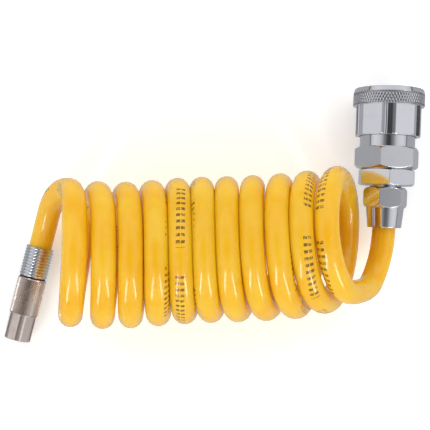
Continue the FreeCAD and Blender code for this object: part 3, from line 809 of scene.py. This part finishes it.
class AIRHOSE_OT_coupler_sleeve(Operator):
    """Models the release sleeve: knurled flange, six round flutes and six grip flats"""
    bl_idname = "airhose.coupler_sleeve"
    bl_label = "Coupler Sleeve"

    def execute(self, context):
        settings = context.scene.airhose_coupler
        depth = settings.knurl_depth / MM
        outer = 12.2
        base = outer - depth
        plating = chrome(settings)
        band_start, band_end, rows = 1.75, 5.75, 2
        band = [(band_start + (band_end - band_start) * row / rows, base) for row in range(rows + 1)]
        flange = turned("flange", [
            (0.0, 10.6), (0.0, 11.6), (0.15, 11.8), (1.4, outer - 0.06), (1.6, outer - 0.02), (1.68, base),
            *band, (5.82, base), (5.9, outer - 0.15), (5.9, 10.6),
        ], settings.knurl_columns)
        # The second material paints shade into the flange knurl's valleys.
        for material in (plating, valley_painted_shade()):
            flange.data.materials.append(material)
        rolled_knurl(flange, band_start, band_end, base, 0.07, 0.27, depth)
        sleeve = turned("sleeve", [
            (0.05, 9.9), (0.05, 11.2), (5.8, 11.3), (5.8, 11.5), (15.9, 11.5), (16.2, 11.2), (16.2, 9.75),
            (9.7, 9.75), (9.7, 8.8), (8.2, 8.8), (4.62, 9.7), (2.9, 9.7), (2.9, 8.8), (2.2, 8.8), (2.2, 9.9),
        ], 216)
        cut_away(sleeve, box_cutters(6, 10.97, 7.6, 5.95, 18.0, 40))
        cut_away(sleeve, box_cutters(6, 10.8, 2.0, 5.95, 18.0, 8.6))
        cut_away(sleeve, round_cutters(6, 11.55, 0.8, 5.95, 18.0, 13.6))
        rounded_edges(sleeve, settings.edge / MM, lambda middle: middle.z > 15 and off_axis(middle) > 10.2)
        sleeve.data.materials.append(plating)
        sleeve = joined("sleeve", [sleeve, flange])
        machined_shading(sleeve)
        finish_piece(
            sleeve, "knurled_sleeve", COUPLER, "sleeve", plating, ["coupler_sleeve"]
        )
        return {"FINISHED"}


def hex_ring(name, start, end, across_flats, bore, turn_deg, edge, domed=False):
    """A hexagon with its corners turned off at both ends, milled from a turned ring."""
    corner = across_flats / math.sqrt(3)
    rim = across_flats / 2 - 0.2
    rise = corner - rim
    shares = ((0.0, 0.0), (0.35, 0.48), (0.7, 0.8), (1.15, 1.0)) if domed else ((0.0, 0.0), (1.15, 1.0))
    shoulder = [(edge * along, rim + rise * outwards) for along, outwards in shares]
    outline = [(start, bore)]
    outline += [(start + inset, radius) for inset, radius in shoulder]
    outline += [(end - inset, radius) for inset, radius in reversed(shoulder)]
    outline += [(end, bore)]
    ring = turned(name, outline, 96)
    activate(ring)
    ring.rotation_euler.z = math.radians(turn_deg)
    bpy.ops.object.transform_apply(rotation=True)
    return milled_flats(ring, HEX_SIDES, across_flats, turn_deg)


class AIRHOSE_OT_coupler_body(Operator):
    """Models the socket body: plug bore, ball holes, rear tube and the big hexagon"""
    bl_idname = "airhose.coupler_body"
    bl_label = "Coupler Body"

    def execute(self, context):
        settings = context.scene.airhose_coupler
        body = turned("body", [
            (0.6, 7.1), (0.6, 8.6), (0.7, 8.7), (1.2, 8.7), (1.2, 8.0), (2.18, 8.0), (2.18, 8.7), (15.6, 8.7),
            (15.6, 9.25), (15.75, 9.4), (27.3, 9.4), (27.4, 9.3), (27.4, 8.0), (21.9, 8.0), (21.9, 7.2),
            (14.5, 7.2), (14.5, 4.8), (13.0, 4.8), (13.0, 6.05), (12.2, 6.05), (12.2, 7.9), (10.2, 7.9),
            (10.2, 6.05), (5.8, 6.05), (5.8, 6.4), (1.3, 6.4),
        ], 144)
        cut_away(body, radial_drills(BALL_COUNT, 1.72, 5.0, 10.0, 8.0))
        hexagon = hex_ring("body_hexagon", 19.9, 27.35, 20.0, 9.1, 21.2, 0.9)
        rounded_edges(hexagon, settings.edge / MM, lambda middle: off_axis(middle) > 9.3)
        body = joined("body", [body, hexagon])
        machined_shading(body)
        finish_piece(
            body, "socket_body", COUPLER, ROOT, chrome(settings), ["coupler_body"]
        )
        return {"FINISHED"}


class AIRHOSE_OT_hose_adapter(Operator):
    """Models the threaded adapter: its hexagon, rear thread and hose nipple"""
    bl_idname = "airhose.hose_adapter"
    bl_label = "Hose Adapter"

    def execute(self, context):
        settings = context.scene.airhose_coupler
        thread = []
        for crest in range(5):
            station = 33.35 + crest * 0.75
            thread += [(station, 5.3), (station + 0.3, 5.6), (station + 0.45, 5.6)]
        adapter = turned("adapter", [
            (22.4, 3.4), (22.4, 7.7), (22.6, 7.94), (27.55, 7.94), (27.6, 8.4), (33.0, 8.4), (33.0, 5.3),
            *thread, (39.3, 5.4), (39.3, 2.5), (46.6, 2.4), (46.6, 1.5), (31.0, 1.5), (31.0, 3.4),
        ], 96)
        hexagon = hex_ring("adapter_hexagon", 27.55, 33.1, 18.0, 7.0, 4.0, 0.45)
        rounded_edges(hexagon, settings.edge / MM, lambda middle: off_axis(middle) > 8.5)
        adapter = joined("adapter", [adapter, hexagon])
        machined_shading(adapter)
        finish_piece(
            adapter, "hose_adapter_hexagon", COUPLER, ROOT, chrome(settings),
            ["hose_adapter"],
        )
        return {"FINISHED"}


class AIRHOSE_OT_hose_nut(Operator):
    """Models the compression nut: a domed hexagon and a tapered collar round the hose"""
    bl_idname = "airhose.hose_nut"
    bl_label = "Hose Nut"

    def execute(self, context):
        settings = context.scene.airhose_coupler
        nut = turned("nut", [
            (33.8, 5.65), (33.8, 6.2), (40.4, 6.5), (41.0, 6.45), (47.2, 5.82), (47.45, 5.75), (47.6, 5.6),
            (47.6, 4.25), (47.4, 4.1), (42.6, 4.1), (39.8, 5.65),
        ], 96)
        hexagon = hex_ring("nut_hexagon", 33.7, 40.8, 13.4, 6.0, 26.0, 1.3, domed=True)
        rounded_edges(hexagon, settings.edge / MM, lambda middle: off_axis(middle) > 6.3)
        nut = joined("nut", [nut, hexagon])
        machined_shading(nut)
        finish_piece(nut, "compression_nut", COUPLER, ROOT, chrome(settings), ["hose_nut"])
        return {"FINISHED"}


# ------------------------------------------------------------------ chuck

class AIRHOSE_OT_chuck_ferrule(Operator):
    """Models the crimped ferrule with its ten rolled rings"""
    bl_idname = "airhose.chuck_ferrule"
    bl_label = "Chuck Ferrule"

    def execute(self, context):
        settings = context.scene.airhose_coupler
        pitch, crest, root = 1.06, 4.85, 4.4
        profile = ((0.0, root), (0.08, crest - 0.16), (0.18, crest - 0.05), (0.34, crest), (0.56, crest),
                   (0.72, crest - 0.05), (0.82, crest - 0.16), (0.90, root))
        outline = [(ring * pitch + rise, radius) for ring in range(10) for rise, radius in profile]
        ferrule = turned("ferrule", [
            (0.0, 4.0), *outline, (10.6, root), (10.6, 2.5), (9.6, 2.5), (9.6, 4.0),
        ], 72)
        machined_shading(ferrule)
        finish_piece(
            ferrule, "crimped_ferrule", CHUCK, ROOT, chrome(settings), ["chuck_ferrule"]
        )
        return {"FINISHED"}


class AIRHOSE_OT_chuck_barrel(Operator):
    """Models the screw-on barrel: diamond knurl, six-sided nose and its fine grooves"""
    bl_idname = "airhose.chuck_barrel"
    bl_label = "Chuck Barrel"

    def execute(self, context):
        settings = context.scene.airhose_chuck
        depth = settings.knurl_depth / MM
        base = 4.975 - depth
        nickel = metal("nickel_plate", tuple(settings.plating), (0.68, 0.59, 0.53), 0.24, 0.08, 0.06)
        band_start, band_end, rows = 11.5, 23.9, 9
        band = [(band_start + (band_end - band_start) * row / rows, base) for row in range(rows + 1)]
        grip = turned("grip", [
            (11.2, 2.58), (11.2, 4.7), (11.32, 4.85), (11.42, base), *band, (23.98, base), (24.05, 4.93),
            (24.2, 4.93), (24.32, 4.8), (24.32, 3.6), (21.8, 3.6), (21.8, 2.58),
        ], settings.knurl_columns)
        # The second material paints shade into the barrel knurl's valleys.
        for material in (nickel, valley_painted_shade()):
            grip.data.materials.append(material)
        rolled_knurl(grip, band_start, band_end, base, 0.07, 0.12, depth)
        thread = []
        for crest in range(9):
            station = 32.2 - crest * 0.79
            thread += [(station, 3.97), (station - 0.3, 3.85), (station - 0.45, 3.85)]
        nose = turned("nose", [
            (24.25, 3.7), (24.25, 4.72), (33.25, 4.72), (33.4, 4.6), (33.4, 4.15), (33.0, 3.97), *thread,
            (24.9, 3.85), (24.9, 3.7),
        ], 144)
        cut_away(nose, box_cutters(6, 4.52, 4.6, 24.4, 35.0, 17.5))
        cut_away(nose, box_cutters(6, 4.25, 0.55, 24.4, 35.0, -12.5))
        rounded_edges(nose, settings.edge / MM, lambda middle: middle.z > 33 and off_axis(middle) > 4.3)
        nose.data.materials.append(nickel)
        barrel = joined("barrel", [grip, nose])
        machined_shading(barrel, crease_deg=18)
        finish_piece(barrel, "knurled_barrel", CHUCK, "barrel", nickel, ["chuck_barrel"])
        return {"FINISHED"}


class AIRHOSE_OT_inner_parts(Operator):
    """Gives the balls, springs, seals, valve, stem and rings their own finishes"""
    bl_idname = "airhose.inner_parts"
    bl_label = "Inner Parts"

    def execute(self, context):
        steel = metal("bright_spring_steel", (0.56, 0.57, 0.60), (0.36, 0.34, 0.33), 0.18, 0.14)
        brass = metal("turned_brass", (0.78, 0.57, 0.24), (0.48, 0.33, 0.15), 0.24, 0.16)
        seal = rubber("black_seal_rubber", (0.018, 0.018, 0.020), (0.060, 0.058, 0.055), 0.55)
        fibre = rubber("dark_swivel_ring", (0.012, 0.012, 0.013), (0.040, 0.036, 0.034), 0.38)
        finishes = {
            "snap_ring": steel, "sleeve_spring": steel, "valve_spring": steel,
            "valve_poppet": brass, "chuck_stem": brass, "depressor_pin": brass,
            "plug_seal": seal, "poppet_seal": seal, "adapter_gasket": seal, "chuck_seal": seal,
            "swivel_ring": fibre,
        }
        for number in range(1, BALL_COUNT + 1):
            finishes[f"locking_ball_{number}"] = steel
        for name, material in finishes.items():
            part = frame["nodes"][name]
            part.data.materials.clear()
            part.data.materials.append(material)
        return {"FINISHED"}


# ------------------------------------------------------------------ add-on

class AIRHOSE_PT_panel(Panel):
    """Lists the pieces of the air hose in the sidebar"""
    bl_idname = "AIRHOSE_PT_panel"
    bl_label = "Air Hose"
    bl_space_type = "VIEW_3D"
    bl_region_type = "UI"
    bl_category = "Air Hose"

    def draw(self, context):
        for group in ("airhose_hose", "airhose_coupler", "airhose_chuck", "airhose_stage"):
            settings = getattr(context.scene, group)
            box = self.layout.box()
            for name in settings.bl_rna.properties.keys():
                if name not in ("rna_type", "name"):
                    box.prop(settings, name)
        for operator in OPERATORS:
            self.layout.operator(operator.bl_idname)


SETTINGS = {
    "airhose_hose": HoseSettings,
    "airhose_coupler": CouplerSettings,
    "airhose_chuck": ChuckSettings,
    "airhose_stage": StageSettings,
}
OPERATORS = (
    AIRHOSE_OT_stage, AIRHOSE_OT_coupler_sleeve, AIRHOSE_OT_coupler_body, AIRHOSE_OT_hose_adapter,
    AIRHOSE_OT_hose_nut, AIRHOSE_OT_chuck_ferrule, AIRHOSE_OT_chuck_barrel, AIRHOSE_OT_hose,
    AIRHOSE_OT_inner_parts,
)


def register():
    for name, group in SETTINGS.items():
        bpy.utils.register_class(group)
        setattr(bpy.types.Scene, name, PointerProperty(type=group))
    for operator in OPERATORS:
        bpy.utils.register_class(operator)
    bpy.utils.register_class(AIRHOSE_PT_panel)


def unregister():
    bpy.utils.unregister_class(AIRHOSE_PT_panel)
    for operator in reversed(OPERATORS):
        bpy.utils.unregister_class(operator)
    for name, group in SETTINGS.items():
        delattr(bpy.types.Scene, name)
        bpy.utils.unregister_class(group)


def main():
    register()
    for operator in OPERATORS:
        group, name = operator.bl_idname.split(".")
        getattr(getattr(bpy.ops, group), name)()
    deselect_all()


if __name__ == "__main__":
    main()
